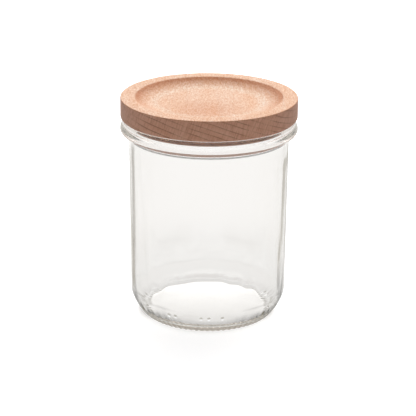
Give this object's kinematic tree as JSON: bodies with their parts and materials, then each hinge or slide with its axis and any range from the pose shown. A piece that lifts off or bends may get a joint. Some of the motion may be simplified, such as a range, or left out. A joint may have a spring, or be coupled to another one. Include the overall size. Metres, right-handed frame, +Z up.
{
  "type": "glass preserving jar with wooden lid",
  "caption": "Straight-sided clear glass jar with a thick neck ring and a dished, turned beech lid that presses into its mouth on a silicone seal.",
  "frame": {"origin": "centre of the base, on the plane the jar stands on", "axes": "+Z up along the jar's axis, -Y towards the picture's camera, +X to its right"},
  "size_m": [0.1104, 0.1104, 0.141],
  "materials": {
    "clear_glass": "clear pressed glass, fire-polished",
    "beech": "turned and sanded, unvarnished",
    "silicone": "moulded, clear, satin"
  },
  "bodies": {
    "jar": {"glass_jar": "clear_glass"},
    "lid": {"beech_lid": "beech", "silicone_seal": "silicone"}
  },
  "joints": [
    {"name": "lid_lift", "type": "slide", "parent": "jar", "child": "lid", "axis": [0, 0, 1], "range_m": [0, 0.1]}
  ]
}
